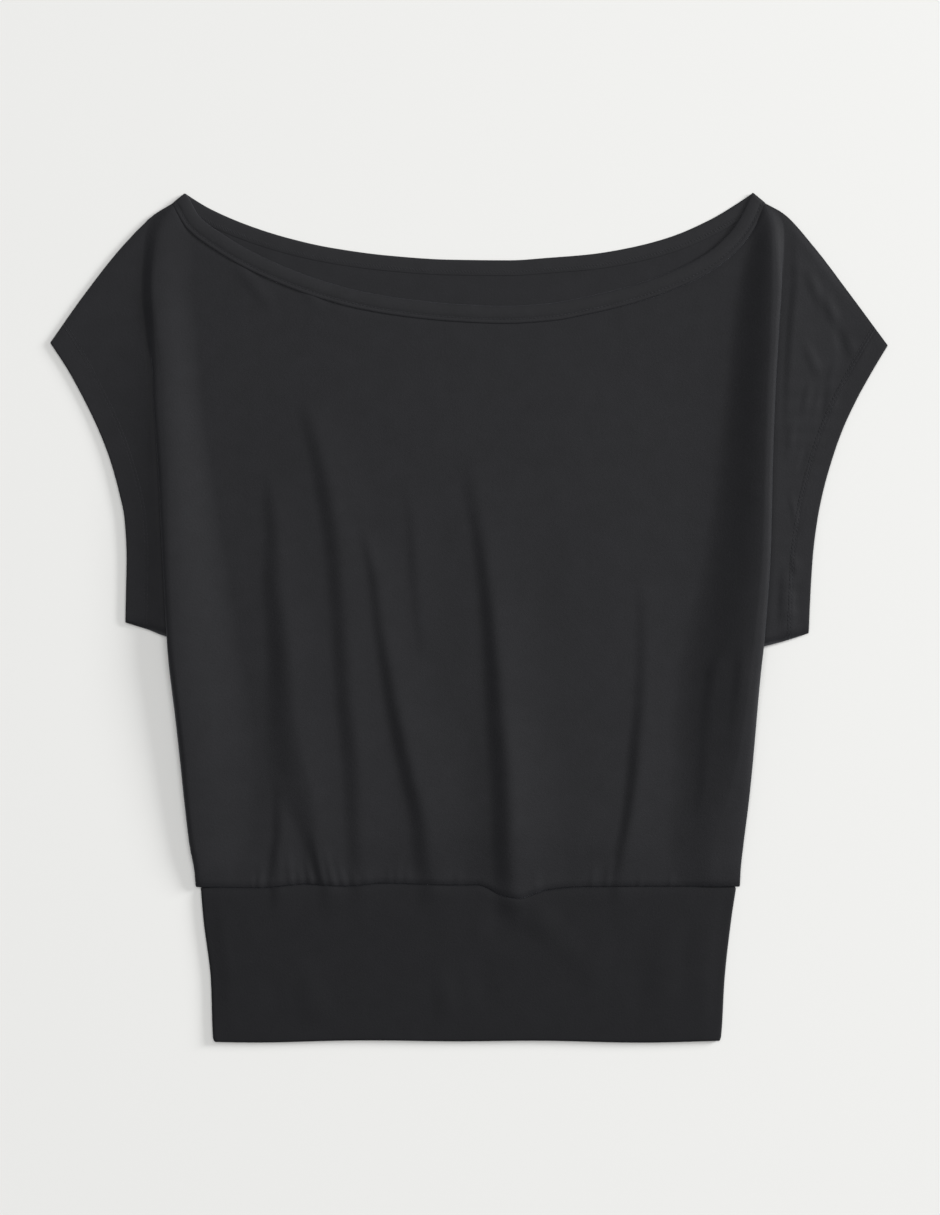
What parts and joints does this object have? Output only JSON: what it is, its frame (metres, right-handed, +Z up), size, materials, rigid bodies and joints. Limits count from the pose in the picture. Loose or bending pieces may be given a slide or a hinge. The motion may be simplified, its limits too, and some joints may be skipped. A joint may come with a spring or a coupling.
{
  "type": "t-shirt",
  "caption": "Black jersey t-shirt laid flat, with a wide bound neck, cap sleeves cut in one with the loose body, and a deep plain waistband.",
  "frame": {"origin": "middle of the garment's box, on the surface it lies on", "axes": "+Z up out of the surface, +Y towards the neck, +X to the viewer's right as seen from above the front"},
  "size_m": [0.6276, 0.6355, 0.0141],
  "materials": {
    "jersey": "matt black cotton jersey with a faint cool tint",
    "band_jersey": "the same jersey, double, a shade deeper",
    "binding_jersey": "the same jersey, folded over the neck edge and stitched"
  },
  "bodies": {
    "root": {"front_panel": "jersey", "back_panel": "jersey", "neck_binding_front": "binding_jersey", "neck_binding_back": "binding_jersey", "waistband_front": "band_jersey", "waistband_back": "band_jersey"}
  },
  "joints": []
}
